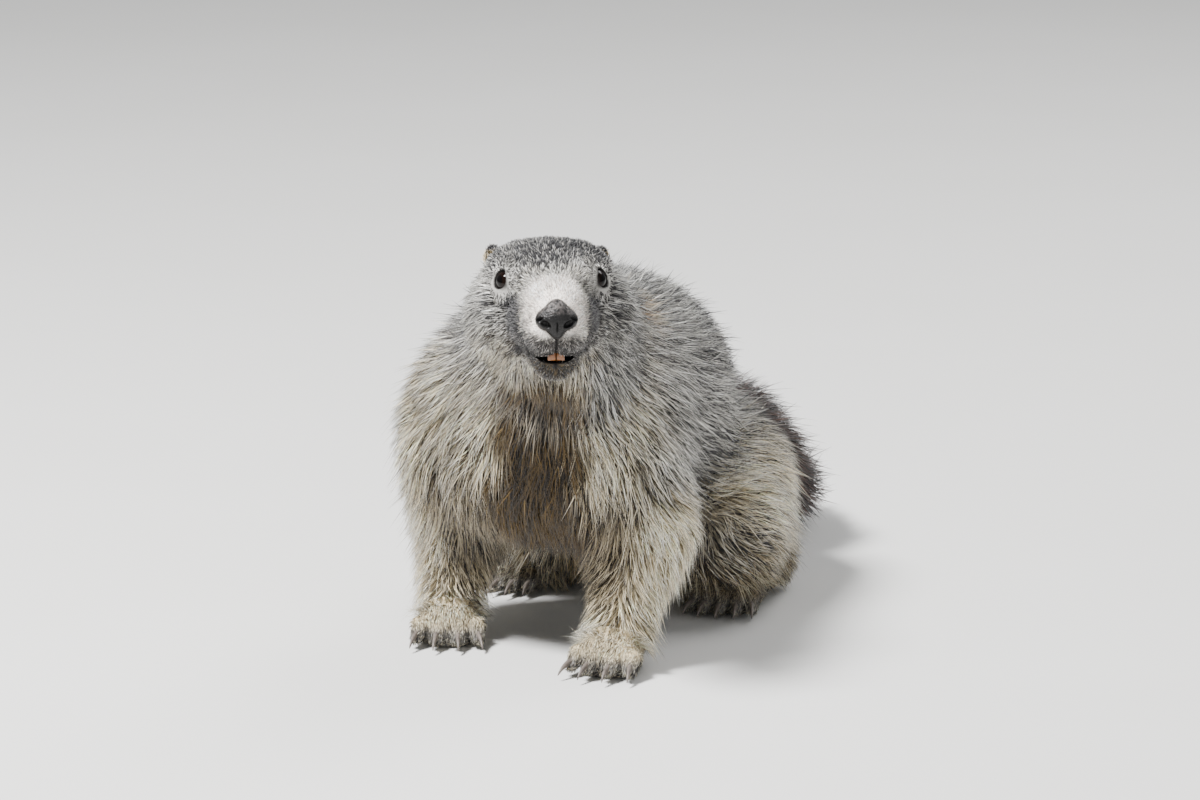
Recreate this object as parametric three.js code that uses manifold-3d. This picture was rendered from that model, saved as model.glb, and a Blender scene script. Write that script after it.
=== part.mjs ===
// Alpine marmot, life size, propped on straight forelegs, its haunches low and its head turned to the left.
// Millimetres, +Z up, floor at z = 0. The spine runs along Y, the nose towards -Y; +X is the animal's left.
// Ellipsoids and tapered limbs blend into one smooth field. Where the hair is short, the body's surface
// follows the tips of the coat. Where it is long, a core follows the coat half-way out, and flat tapered
// locks rooted in it overlap along the lie of the hair and reach the tips. Planes part the whole into head,
// neck, torso, legs and tail.
import * as THREE from "three";
import { mergeVertices } from "three/addons/utils/BufferGeometryUtils.js";
import Module from "manifold-3d";

const wasm = await Module();
wasm.setup();

// Driving dimensions
const shoulderHalfWidth = 66;
const haunchHalfWidth = 66;
const chestY = -86;
const rumpY = 72;
const eyePoint = new THREE.Vector3(39, -165, 212);
const headYaw = 28;
const headPitch = 2.4;
const eyeRadius = 6.6;
const eyeSpread = 21.5;
const earHeight = 17.5;
const earWidth = 14.5;
const earLift = { right: 6.5, left: 4 };
const noseWidth = 22;
const incisorWidth = 4.3;
const foreClawLength = 12;
const hindClawLength = 11;
const clawRadii = [2.1, 1.7, 0.35];
const clawClear = 0.8;
const partGap = 0.3;
// Edges that cuts leave shorter than shortest are closed up, and corners nearer than touch are drawn apart
const shortest = 0.12;
const touch = 0.01;
// Depth of coat from the skin to the tips of the hair
const coat = { face: 2.5, crown: 5, cheek: 10, neck: 15, body: 15, limb: 10, tail: 20 };
// Hair shorter than short is surface only, and hair longer than long stands out of the core as locks
const hair = { short: 5.5, long: 8, coreShare: 0.5 };
// Locks start sink below the core's surface, apart from one another, and no lower on the body than lowest
const lockSizes = { length: 74, width: 29, thickness: 5, sink: 6, apart: 28, lowest: 14 };
const lockScales = { head: 0.42, neck: 0.9, torso: 1.02, foreleg: 0.9, hindleg: 1.02, tail: 0.85 };
const lockTurns = { turn: 26, bend: 30 };
// Along a lock: its stations, how far each rises from root to tips, and its shares of full width and height
const lockProfile = {
  stations: [0, 0.42, 1],
  rises: [0, 0.74, 1.12],
  widths: [0.75, 1, 0],
  heights: [0.5, 1, 0],
};
// How much wider a lock's cut is made along it, across it, above it and below it, in shares of grow
const lockRoom = { along: 3, across: 6, above: 3, below: 1.6 };
const lockTries = 9000;
const seed = 3;
// Sizes of the cells that the body and the finer head are meshed in
const bodyCell = 19;
const headCell = 6.3;

const degrees = Math.PI / 180;
const sides = { right: -1, left: 1 };
const vec = (x, y, z) => new THREE.Vector3(x, y, z);

// The head's own axes: x forward along the muzzle, y to its left, z up, from the middle between the eyes
const headForward = vec(Math.sin(headYaw * degrees), -Math.cos(headYaw * degrees), 0);
const headLeft = vec(-headForward.y, headForward.x, 0);
headForward.applyAxisAngle(headLeft, -headPitch * degrees);
const headUp = vec(0, 0, 0).crossVectors(headForward, headLeft);
const headFrame = new THREE.Matrix4().makeBasis(headForward, headLeft, headUp).setPosition(eyePoint);
const headInverse = headFrame.clone().invert();
const onHead = (forward, left, up) => vec(forward, left, up).applyMatrix4(headFrame);
const headWay = (forward, left, up) => vec(forward, left, up).transformDirection(headFrame);

// Distance to an ellipsoid, near enough to blend and to find the surface
function ellipsoidDistance(p, centre, radii) {
  const x = p.x - centre.x;
  const y = p.y - centre.y;
  const z = p.z - centre.z;
  const k0 = Math.hypot(x / radii.x, y / radii.y, z / radii.z);
  const k1 = Math.hypot(x / radii.x ** 2, y / radii.y ** 2, z / radii.z ** 2);
  return k1 < 1e-9 ? -Math.min(radii.x, radii.y, radii.z) : (k0 * (k0 - 1)) / k1;
}

// A mass of the body: its coat's depth, how softly it blends, and lie, the way that its hair points
function ellipsoid(centre, radii, depth, blend, lie) {
  return { depth, blend, lie, distance: (p) => ellipsoidDistance(p, centre, radii) };
}

function headMass(centre, radii, depth, blend, lie = [-1, 0, 0]) {
  const local = vec(0, 0, 0);
  const distance = (p) => ellipsoidDistance(local.copy(p).applyMatrix4(headInverse), centre, radii);
  return { depth, blend, lie: headWay(...lie), distance };
}

function limb(from, to, fromRadius, toRadius, depth, blend, lie) {
  const along = to.clone().sub(from);
  const lengthSquared = along.lengthSq();
  const offset = vec(0, 0, 0);
  const distance = (p) => {
    offset.copy(p).sub(from);
    const t = Math.min(1, Math.max(0, offset.dot(along) / lengthSquared));
    return offset.addScaledVector(along, -t).length() - (fromRadius + (toRadius - fromRadius) * t);
  };
  return { depth, blend, lie: lie ?? along.clone().normalize(), distance };
}

const torsoMasses = [
  ellipsoid(vec(0, chestY, 118), vec(52, 48, 54), coat.body, 16, vec(0, 0.3, -1)),
  ellipsoid(vec(2, -44, 132), vec(50, 56, 48), coat.body, 24, vec(0, 0.8, -0.6)),
  ellipsoid(vec(0, 4, 112), vec(50, 62, 58), coat.body, 24, vec(0, 1, -0.5)),
  ellipsoid(vec(0, rumpY, 62), vec(46, 46, 41), coat.body, 26, vec(0, 1, -0.6)),
];
for (const side of Object.values(sides)) {
  const shoulder = vec(side * (shoulderHalfWidth - 24) - 2, chestY, 108);
  const haunch = vec(side * (haunchHalfWidth - 26), 52, 50);
  torsoMasses.push(
    ellipsoid(shoulder, vec(24, 36, 44), coat.body, 16, vec(0, 0.4, -1)),
    ellipsoid(haunch, vec(26, 46, 40), coat.body, 14, vec(0, 0.7, -1)),
  );
}

const neckMasses = [
  limb(vec(3, -78, 138), vec(28, -128, 176), 49, 30, coat.neck, 18, vec(-0.2, 0.6, -0.8)),
  limb(vec(6, -66, 152), vec(22, -122, 190), 29, 18, coat.neck, 16, vec(-0.2, 0.8, -0.5)),
];

// Skull, bridge, muzzle, jaw and throat, then brow, temple, lip pad, jowl and cheek on each side
const headMasses = [
  headMass(vec(-22, 0, -5), vec(33, 23, 19.5), coat.crown, 8),
  headMass(vec(14, 0, -6.5), vec(34, 13.5, 11.5), coat.face, 8),
  headMass(vec(29, 0, -12.5), vec(19.5, 12.5, 12), coat.face, 6),
  headMass(vec(12, 0, -32), vec(28, 11, 9), coat.face + 1.5, 6, [-1, 0, -0.2]),
  headMass(vec(-26, 0, -28), vec(26, 22, 19), coat.cheek, 10, [-0.7, 0, -0.8]),
];
for (const side of Object.values(sides)) {
  headMasses.push(
    headMass(vec(0, side * 11, 4), vec(13, 8, 5), coat.face, 7, [-1, side * 0.3, 0]),
    headMass(vec(-23, side * 16, -1), vec(20, 11, 11), coat.crown, 8, [-1, side * 0.2, 0]),
    headMass(vec(33, side * 6, -20.5), vec(14, 8, 9), coat.face, 3, [-1, side * 0.3, -0.3]),
    headMass(vec(2, side * 12, -18), vec(28, 10, 12), coat.face + 1, 6, [-1, side * 0.5, -0.3]),
    headMass(vec(-20, side * 21, -19), vec(23, 14, 17), coat.cheek, 10, [-0.8, side * 0.6, -0.6]),
  );
}

// Each leg's joints, from the body down. The left forepaw is a step ahead of the right.
const foreJoints = {
  right: { shoulder: vec(-42, -86, 104), elbow: vec(-54, -74, 66), wrist: vec(-52, -96, 24) },
  left: { shoulder: vec(44, -90, 104), elbow: vec(58, -92, 66), wrist: vec(57, -118, 24) },
};
const hindJoints = {
  right: { hip: vec(-34, 60, 62), knee: vec(-60, 16, 42), ankle: vec(-57, 66, 18) },
  left: { hip: vec(34, 60, 62), knee: vec(60, 16, 42), ankle: vec(57, 66, 18) },
};
const legMasses = Object.keys(sides).flatMap((name) => {
  const { shoulder, elbow, wrist } = foreJoints[name];
  const { hip, knee, ankle } = hindJoints[name];
  return [
    limb(shoulder, elbow, 24, 18, coat.limb + 2, 14, vec(0, 0.3, -1)),
    limb(elbow, wrist, 20, 11, coat.limb, 10, vec(0, 0.1, -1)),
    limb(hip, knee, 28, 22, coat.limb + 3, 14, vec(0, 0.7, -1)),
    limb(knee, ankle, 18, 13, coat.limb, 12, vec(0, 0.8, -1)),
  ];
});

const tailPath = [
  vec(3, 106, 80),
  vec(14, 131, 74),
  vec(19, 156, 54),
  vec(20, 182, 31),
  vec(12, 213, 20),
  vec(-3, 239, 19),
];
const tailRadius = (i) => 13 - 2 * i;
const tailMasses = tailPath
  .slice(1)
  .map((point, i) => limb(tailPath[i], point, tailRadius(i), tailRadius(i + 1), coat.tail, 10));

const bodyMasses = [...torsoMasses, ...neckMasses, ...legMasses, ...headMasses, ...tailMasses];

// Smooth union of all masses at a point: the distance to the skin, and the coat's depth and lie in the same
// shares
function coatAt(p) {
  let skin = Infinity;
  let depth = 0;
  const lie = vec(0, 0, 0);
  for (const mass of bodyMasses) {
    const next = mass.distance(p);
    const nearer = (skin - next) / (2 * mass.blend);
    const share = skin === Infinity ? 1 : THREE.MathUtils.clamp(0.5 + nearer, 0, 1);
    skin = share === 1 ? next : skin + (next - skin) * share - mass.blend * share * (1 - share);
    depth += (mass.depth - depth) * share;
    lie.lerp(mass.lie, share);
  }
  return { skin, depth, lie };
}

// Distances to the tips of the coat, and to the body's surface, which drops to a core under long hair
function tips(p) {
  const { skin, depth } = coatAt(p);
  return skin - depth;
}

function body(p) {
  const { skin, depth } = coatAt(p);
  return skin - depth * (1 - hair.coreShare * THREE.MathUtils.smoothstep(depth, hair.short, hair.long));
}

function slopeOf(field, p) {
  const probe = 0.2;
  const value = field(p);
  const ways = [vec(probe, 0, 0), vec(0, probe, 0), vec(0, 0, probe)];
  return vec(...ways.map((way) => (field(way.add(p)) - value) / probe));
}

// Closed mesh of a field's zero surface inside a box of cells: one point in each cell that it crosses, moved
// onto the surface, and one square across each grid edge that it cuts. frame turns the box.
function netOf(field, low, high, cell, frame = new THREE.Matrix4()) {
  const counts = high.clone().sub(low).divideScalar(cell).ceil().addScalar(1).toArray();
  const [across, deep] = counts;
  const index = (i, j, k) => (k * deep + j) * across + i;
  const placeOf = (i, j, k) => vec(low.x + i * cell, low.y + j * cell, low.z + k * cell);
  const at = (p) => field(p.clone().applyMatrix4(frame));
  const values = [];
  for (let k = 0; k < counts[2]; k++) {
    for (let j = 0; j < deep; j++) {
      for (let i = 0; i < across; i++) {
        const value = at(placeOf(i, j, k));
        const border = [i, j, k].some((n, axis) => n === 0 || n === counts[axis] - 1);
        values.push(border ? Math.max(value, cell / 4) : value);
      }
    }
  }
  const points = [];
  const known = new Map();
  const pointIn = (i, j, k) => {
    const key = index(i, j, k);
    if (known.has(key)) return known.get(key);
    const sum = vec(0, 0, 0);
    let crossings = 0;
    const visit = (a, b) => {
      const from = values[index(...a)];
      const to = values[index(...b)];
      if (from < 0 === to < 0) return;
      sum.add(placeOf(...a).lerp(placeOf(...b), from / (from - to)));
      crossings += 1;
    };
    for (const m of [0, 1]) {
      for (const n of [0, 1]) {
        visit([i, j + m, k + n], [i + 1, j + m, k + n]);
        visit([i + m, j, k + n], [i + m, j + 1, k + n]);
        visit([i + m, j + n, k], [i + m, j + n, k + 1]);
      }
    }
    known.set(key, points.push(sum.divideScalar(crossings)) - 1);
    return known.get(key);
  };
  const faces = [];
  const addSquare = (a, b, c, d, flipped) => {
    const [p, q, r, s] = flipped ? [d, c, b, a] : [a, b, c, d];
    const short = points[p].distanceTo(points[r]) < points[q].distanceTo(points[s]);
    faces.push(...(short ? [[p, q, r], [p, r, s]] : [[q, r, s], [q, s, p]]));
  };
  for (let k = 0; k < counts[2] - 1; k++) {
    for (let j = 0; j < deep - 1; j++) {
      for (let i = 0; i < across - 1; i++) {
        const inside = values[index(i, j, k)] < 0;
        const round = [
          [values[index(i + 1, j, k)], [i, j - 1, k - 1], [i, j, k - 1], [i, j, k], [i, j - 1, k]],
          [values[index(i, j + 1, k)], [i - 1, j, k - 1], [i - 1, j, k], [i, j, k], [i, j, k - 1]],
          [values[index(i, j, k + 1)], [i - 1, j - 1, k], [i, j - 1, k], [i, j, k], [i - 1, j, k]],
        ];
        for (const [next, ...cells] of round) {
          if (inside !== next < 0) addSquare(...cells.map((c) => pointIn(...c)), !inside);
        }
      }
    }
  }
  for (const point of points) settle(point, at, cell);
  return solidFrom(points.map((p) => p.applyMatrix4(frame)), faces);
}

// Moves a point onto a field's surface along its slope, by no more than a third of a cell
function settle(point, at, cell) {
  const slope = slopeOf(at, point);
  const step = at(point) / Math.max(slope.lengthSq(), 0.3);
  point.addScaledVector(slope, -THREE.MathUtils.clamp(step, -cell / 3, cell / 3));
}

function solidFrom(points, faces) {
  return new wasm.Manifold(
    new wasm.Mesh({
      numProp: 3,
      vertProperties: new Float32Array(points.flatMap((p) => p.toArray())),
      triVerts: new Uint32Array(faces.flat()),
    }),
  );
}

// A three.js geometry as a solid, placed by a matrix
function solidOf(geometry, matrix = new THREE.Matrix4()) {
  const bare = geometry.clone().applyMatrix4(matrix);
  bare.deleteAttribute("normal");
  bare.deleteAttribute("uv");
  const merged = mergeVertices(bare, 1e-4);
  return new wasm.Manifold(
    new wasm.Mesh({
      numProp: 3,
      vertProperties: merged.attributes.position.array,
      triVerts: new Uint32Array(merged.index.array),
    }),
  );
}

// Convex region inside a list of planes, each a point on it and the way that it faces out
function region(planes, grow = 0) {
  let solid = solidOf(new THREE.BoxGeometry(1000, 1000, 1000));
  for (const [point, facing] of planes) {
    const inward = facing.clone().normalize().negate();
    solid = solid.trimByPlane(inward.toArray(), inward.dot(point) - grow);
  }
  return solid;
}

// Ellipsoid solid in the head's frame, turned by Euler angles in degrees
function headBall(centre, radii, { turn = [0, 0, 0], grow = 0, around = 16, rows = 10 } = {}) {
  const euler = new THREE.Euler(...turn.map((angle) => angle * degrees));
  const size = radii.clone().addScalar(grow);
  const place = new THREE.Matrix4().compose(centre, new THREE.Quaternion().setFromEuler(euler), size);
  return solidOf(new THREE.SphereGeometry(1, around, rows), place.premultiply(headFrame));
}

// Tapered round rod along points, with a blunt or pointed far end
function rod(points, radii, { around = 7, flat = 1, over = vec(0, 0, 1) } = {}) {
  const rings = [];
  points.forEach((point, i) => {
    const before = points[Math.max(0, i - 1)];
    const after = points[Math.min(points.length - 1, i + 1)];
    const along = after.clone().sub(before).normalize();
    const side = vec(0, 0, 0).crossVectors(along, over).normalize();
    const top = vec(0, 0, 0).crossVectors(side, along);
    const ring = [];
    for (let j = 0; j < around; j++) {
      const angle = (2 * Math.PI * j) / around;
      const spot = point.clone().addScaledVector(side, Math.cos(angle) * radii[i] * flat);
      ring.push(spot.addScaledVector(top, Math.sin(angle) * radii[i]));
    }
    rings.push(ring);
  });
  const all = rings.flat();
  const first = all.push(points[0].clone()) - 1;
  const last = all.push(points[points.length - 1].clone()) - 1;
  const faces = [];
  for (let j = 0; j < around; j++) {
    const k = (j + 1) % around;
    const base = (rings.length - 1) * around;
    faces.push([first, j, k], [base + k, base + j, last]);
    for (let i = 0; i + 1 < rings.length; i++) {
      const a = i * around;
      const b = a + around;
      faces.push([a + k, a + j, b + k], [b + k, a + j, b + j]);
    }
  }
  return solidFrom(all, faces);
}

// Repeatable random numbers from 0 to 1
function randomFrom(seed) {
  let state = seed;
  return () => {
    state = (Math.imul(state, 1664525) + 1013904223) >>> 0;
    return state / 2 ** 32;
  };
}

// Points spread over a solid's surface where the hair is long enough for locks, closer where they are smaller
function lockRoots(solid, random) {
  const { vertProperties, triVerts } = solid.getMesh();
  const corner = (i) => vec(...vertProperties.subarray(3 * triVerts[i], 3 * triVerts[i] + 3));
  const triangles = [];
  let area = 0;
  for (let i = 0; i < triVerts.length; i += 3) {
    const triangle = new THREE.Triangle(corner(i), corner(i + 1), corner(i + 2));
    area += triangle.getArea();
    triangles.push({ triangle, area });
  }
  const roots = [];
  for (let n = 0; n < lockTries; n++) {
    const pick = random() * area;
    const { a, b, c } = triangles.find((entry) => entry.area >= pick).triangle;
    const u = Math.sqrt(random());
    const root = a.clone().lerp(b.clone().lerp(c, random()), u);
    const { depth } = coatAt(root);
    if (root.z < lockSizes.lowest || depth < hair.long) continue;
    const apart = lockSizes.apart * lockScale(root);
    if (roots.every((other) => other.distanceTo(root) > apart)) roots.push(root);
  }
  return roots;
}

// Locks are smallest on the head, and smaller on the tail and legs than on the torso and neck
function lockScale(root) {
  return lockScales[partAt(root).split("_")[0]];
}

// A flat, tapered lock of three corners in section: sunk in the core at its root, then along the lie of the
// hair over the curve of the body, and out past the tips of the coat at its point. grow makes it wider all
// round, for a cut.
function lock(root, { size, turn, bend }, grow = 0) {
  const scale = lockScale(root) * size;
  const { stations, rises, widths, heights } = lockProfile;
  const spot = root.clone();
  const sections = stations.map((share, i) => {
    const level = (p) => (1 - rises[i]) * (body(p) + lockSizes.sink) + rises[i] * tips(p);
    const fit = (p) => [1, 2].forEach(() => settle(p, level, lockSizes.length)) || p;
    const normal = slopeOf(tips, spot).normalize();
    const along = coatAt(spot).lie.projectOnPlane(normal).normalize();
    along.applyAxisAngle(normal, turn + bend * share);
    if (i) spot.addScaledVector(along, (share - stations[i - 1]) * lockSizes.length * scale);
    fit(spot);
    const across = vec(0, 0, 0).crossVectors(along, normal);
    const half = (widths[i] * lockSizes.width * scale) / 2;
    const edgeAt = (side) => fit(spot.clone().addScaledVector(across, side * half));
    const edges = [edgeAt(sides.right), edgeAt(sides.left)];
    const base = edges[0].clone().lerp(edges[1], 0.5);
    const rise = Math.max(0, base.sub(spot).dot(normal)) + heights[i] * lockSizes.thickness * scale;
    const ridge = spot.clone().addScaledVector(normal, rise);
    const [right, left] = half ? edges : [ridge, ridge];
    return { ridge, right, left, across, normal };
  });
  const axis = (i) => sections[i + 1].ridge.clone().sub(sections[i].ridge).normalize();
  const outlines = sections.map(({ ridge, right, left, across, normal }, i) => {
    const way = axis(Math.min(i, 1));
    if (right !== left) {
      across = left.clone().sub(right).normalize();
      normal = ridge.clone().sub(right).projectOnPlane(across).projectOnPlane(way).normalize();
    }
    const shift = way.clone().multiplyScalar((i - 1) * lockRoom.along * grow);
    const outward = across.clone().multiplyScalar(lockRoom.across * grow);
    const down = normal.clone().multiplyScalar(-lockRoom.below * grow);
    return [
      ridge.clone().addScaledVector(normal, lockRoom.above * grow),
      right.clone().sub(outward).add(down),
      left.clone().add(outward).add(down),
    ].map((p) => p.add(shift).toArray());
  });
  const hulls = outlines.slice(1).map((outline, i) => wasm.Manifold.hull([...outlines[i], ...outline]));
  return wasm.Manifold.union(hulls);
}

const materials = {
  fur: finish("#8b8378", 0.9),
  paw: finish("#8d8574", 0.85),
  nose: finish("#2b2726", 0.45),
  eye: finish("#120d0a", 0.08),
  tooth: finish("#c9781f", 0.35),
};

function finish(color, roughness) {
  return new THREE.MeshStandardMaterial({ color, roughness, metalness: 0 });
}

const marmot = new THREE.Group();

// The largest closed surface, without loose scraps and without hollows that the pieces seal between them
function largest(solid) {
  return solid.decompose().sort((a, b) => b.volume() - a.volume())[0];
}

// Draws apart corners that meet where their faces don't, each back into its own side
function partTouching(geometry) {
  geometry.computeVertexNormals();
  const { position, normal } = geometry.attributes;
  const corners = [];
  for (let i = 0; i < position.count; i++) corners.push(vec(0, 0, 0).fromBufferAttribute(position, i));
  const meets = (a, b) => a !== b && Math.abs(a.x - b.x) < touch && a.distanceTo(b) < touch;
  const touching = corners.filter((corner) => corners.some((other) => meets(corner, other)));
  for (const corner of touching) {
    const i = corners.indexOf(corner);
    corner.addScaledVector(vec(0, 0, 0).fromBufferAttribute(normal, i), -2 * touch);
    position.setXYZ(i, ...corner.toArray());
  }
  geometry.deleteAttribute("normal");
}

function addPart(name, solid, material) {
  const mesh = largest(solid.simplify(shortest)).getMesh();
  const geometry = new THREE.BufferGeometry();
  geometry.setAttribute("position", new THREE.BufferAttribute(mesh.vertProperties, 3));
  geometry.setIndex(new THREE.BufferAttribute(mesh.triVerts, 1));
  partTouching(geometry);
  const part = new THREE.Mesh(geometry, material);
  part.name = name;
  marmot.add(part);
}

// Planes that bound each part of the body
const x = vec(1, 0, 0);
const y = vec(0, 1, 0);
const z = vec(0, 0, 1);
const back = (way) => way.clone().negate();
const floor = [vec(0, 0, 0), back(z)];
const napePlane = [onHead(-52, 0, 12), headWay(-1, 0, -0.656)];
const neckPlane = [vec(5, -88, 172), vec(-0.2, 0.45, -0.87)];
const tailPlane = [vec(0, 122, 60), vec(0, -1, 0.25)];
const foreRegion = (side) => [
  [vec(side * 12, 0, 50), vec(-side, 0, 0)],
  [vec(side * 16, 0, 52), vec(-side * 0.66, 0, 0.75)],
  [vec(0, -48, 60), vec(0, 1, 0.12)],
];
const hindRegion = (side) => [
  [vec(side * 22, 0, 40), vec(-side, 0, 0)],
  [vec(side * 22, 0, 40), vec(-side * 0.86, 0, 0.5)],
  [vec(0, -26, 50), back(y)],
  [vec(0, 104, 50), y],
];
const facingBack = ([point, facing]) => [point, back(facing)];
const partPlanes = {
  head: [napePlane],
  neck: [facingBack(napePlane), neckPlane],
  tail: [tailPlane],
  foreleg_right: foreRegion(sides.right),
  foreleg_left: foreRegion(sides.left),
  hindleg_right: hindRegion(sides.right),
  hindleg_left: hindRegion(sides.left),
};

// The part of the body that a point is in
function partAt(p) {
  const isIn = ([, planes]) => planes.every(([point, facing]) => facing.dot(p.clone().sub(point)) < 0);
  return Object.entries(partPlanes).find(isIn)?.[0] ?? "torso";
}

// Sets the heights of a line's points, none of them lower than lowest
function raise(points, heights, lowest) {
  points.forEach((point, i) => (point.z = Math.max(heights[i], lowest)));
}

// Paw: a palm or sole, toes that arch down in front of it, and a claw on each
function paw({ heel, ball, palmRadius, toes, toeLength, toeRadius, clawLength, spread, yaw }, grow = 0) {
  const forward = vec(Math.sin(yaw * degrees), -Math.cos(yaw * degrees), 0);
  const across = vec(-forward.y, forward.x, 0);
  const front = ball.clone().addScaledVector(forward, palmRadius * 0.7);
  const palm = [heel, heel.clone().lerp(ball, 0.5), ball, front];
  const palmRadii = [0.62, 0.85, 1, 0.7].map((share) => share * palmRadius + grow);
  const solids = [rod(palm, palmRadii, { around: 10, flat: 1.35 })];
  for (let i = 0; i < toes; i++) {
    const place = (i - (toes - 1) / 2) / ((toes - 1) / 2);
    const way = forward.clone().applyAxisAngle(z, place * spread * degrees);
    const length = toeLength * (1 - 0.22 * place * place);
    const root = ball.clone().addScaledVector(across, place * palmRadius * 1.02);
    const bone = [0, 0.5, 1].map((share) => root.clone().addScaledVector(way, share * length));
    raise(bone, [0.1, 0.3, -0.55].map((rise) => root.z + rise * toeRadius), toeRadius * 0.55);
    solids.push(rod(bone, [1, 1.02, 0.62].map((share) => share * toeRadius + grow), { around: 6 }));
    const claw = [-0.2, 0.5, 1].map((share) => bone[2].clone().addScaledVector(way, share * clawLength));
    raise(claw, [0.35, 0.1, -0.72].map((rise) => bone[2].z + rise * toeRadius), clawClear);
    solids.push(rod(claw, clawRadii.map((radius) => radius + grow), { around: 4, flat: 0.75 }));
  }
  return wasm.Manifold.union(solids).trimByPlane([0, 0, 1], 0);
}

const foreYaw = { right: 22, left: 2 };
const ballStep = 15;
const pawSizes = {};
for (const [name, side] of Object.entries(sides)) {
  const { wrist } = foreJoints[name];
  const { ankle } = hindJoints[name];
  const turned = foreYaw[name] * degrees;
  pawSizes["forepaw_" + name] = {
    heel: vec(wrist.x, wrist.y + 4, 13),
    ball: wrist.clone().add(vec(Math.sin(turned), -Math.cos(turned), -1).multiplyScalar(ballStep)),
    palmRadius: 12.5,
    toes: 4,
    toeLength: 17,
    toeRadius: 5.2,
    clawLength: foreClawLength,
    spread: 15,
    yaw: foreYaw[name],
  };
  pawSizes["hindfoot_" + name] = {
    heel: vec(ankle.x, ankle.y + 14, 11),
    ball: vec(ankle.x + side * 6, ankle.y - 52, 8.5),
    palmRadius: 12,
    toes: 5,
    toeLength: 21,
    toeRadius: 4.8,
    clawLength: hindClawLength,
    spread: 15,
    yaw: side * 8,
  };
}
const pawParts = Object.entries(pawSizes).map(([name, sizes]) => [name, paw(sizes), paw(sizes, partGap)]);

// The head's openings and what sits in them
const eyeCentre = (side) => vec(0, side * eyeSpread, 0);
const eyeWay = (side) => vec(0.5, side * 0.84, 0.2).normalize();
const eyeball = (side, grow) =>
  headBall(eyeCentre(side), vec(1, 1, 1).multiplyScalar(eyeRadius), { grow, around: 12, rows: 7 });

// Lids: an almond rim round the eye, half sunk in the fur
function lids(side) {
  const turned = new THREE.Quaternion().setFromUnitVectors(vec(0, 0, 1), eyeWay(side));
  const centre = eyeCentre(side).addScaledVector(eyeWay(side), 1.6);
  const place = new THREE.Matrix4().compose(centre, turned, vec(1, 1.06, 1.3));
  return solidOf(new THREE.TorusGeometry(eyeRadius - 0.2, 1.7, 5, 14), place.premultiply(headFrame));
}

function noseSolid(grow) {
  const tip = headBall(vec(46, 0, -10.5), vec(7.5, noseWidth / 2, 9), { grow, around: 14, rows: 8 });
  const lip = headBall(vec(45.5, 0, -18), vec(6, 4.5, 7), { grow, around: 8, rows: 6 });
  return tip.add(lip);
}

function nostrils() {
  const cuts = Object.values(sides).map((side) => {
    const turn = [side * 28, 0, side * 22];
    return headBall(vec(51.5, side * 7, -13.5), vec(5, 3.4, 1.9), { turn, around: 8, rows: 4 });
  });
  return wasm.Manifold.union(cuts);
}

function philtrum() {
  const place = new THREE.Matrix4().makeTranslation(54, 0, -22).premultiply(headFrame);
  return solidOf(new THREE.BoxGeometry(8, 0.9, 14), place);
}

// Mouth, a little open: a flat groove round the front and sides, and the cleft of the upper lip
function mouth() {
  const slot = headBall(vec(30, 0, -33), vec(21, 16.5, 2.6), { around: 20, rows: 6 });
  const tongue = headBall(vec(22, 0, -33), vec(16, 8.5, 6), { around: 14, rows: 6 });
  const cleft = headBall(vec(46, 0, -29.5), vec(7, 5.2, 5), { around: 10, rows: 6 });
  return slot.subtract(tongue).add(cleft);
}

// Upper incisor: a flat chisel curved down out of the upper jaw, drawn by its middle line seen from the side
function incisor(side, grow = 0) {
  const points = [vec(34, -21.5, 0), vec(38, -25.5, 0), vec(41, -30, 0), vec(42, -36, 0)];
  const line = new THREE.CatmullRomCurve3(points);
  const steps = 5;
  const front = [];
  const rear = [];
  for (let i = 0; i <= steps; i++) {
    const spot = line.getPointAt(i / steps);
    const along = line.getTangentAt(i / steps);
    const half = (i === steps ? 0.8 : 2) + grow;
    spot.addScaledVector(along, i === steps ? grow : 0);
    front.push(new THREE.Vector2(spot.x - along.y * half, spot.y + along.x * half));
    rear.unshift(new THREE.Vector2(spot.x + along.y * half, spot.y - along.x * half));
  }
  const depth = incisorWidth + 2 * grow;
  const outline = new THREE.Shape([...front, ...rear]);
  const chisel = new THREE.ExtrudeGeometry(outline, { depth, bevelEnabled: false });
  const middle = side * (incisorWidth + partGap) * 0.5;
  const place = new THREE.Matrix4().makeBasis(x, z, back(y)).setPosition(0, middle + depth / 2, 0);
  return solidOf(chisel, place.premultiply(headFrame));
}

// Ear: a rounded cup that opens outwards, its root sunk in a socket of the head
function ear(name, cupped, grow = 0) {
  const side = sides[name];
  const centre = vec(-38, side * 29, earLift[name]);
  const turn = [side * -12, 0, side * 60];
  const size = vec(4, earWidth / 2, earHeight / 2);
  const outer = headBall(centre, size, { turn, grow, around: 12, rows: 7 });
  if (!cupped) return outer;
  const hollow = centre.clone().add(vec(2.2, side * 4, 1.4));
  const inner = headBall(hollow, vec(4.4, size.y - 2.3, size.z - 2.5), { turn, around: 10, rows: 6 });
  return outer.subtract(inner);
}

// The whole core and its locks, each kept with the part that its root is in
const standing = region([floor]);
const whole = netOf(body, vec(-116, -190, -30), vec(116, 290, 250), bodyCell).intersect(standing);
const random = randomFrom(seed);
const locks = lockRoots(whole, random).map((root) => {
  const shape = {
    size: 0.9 + 0.2 * random(),
    turn: (random() - 0.5) * lockTurns.turn * degrees,
    bend: (random() - 0.5) * lockTurns.bend * degrees,
  };
  return { part: partAt(root), solid: lock(root, shape), grown: lock(root, shape, 2 * partGap) };
});
const locksOf = (part, kind = "solid") => {
  const own = locks.filter((entry) => entry.part === part);
  return wasm.Manifold.union(own.map((entry) => entry[kind])).intersect(standing);
};

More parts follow.
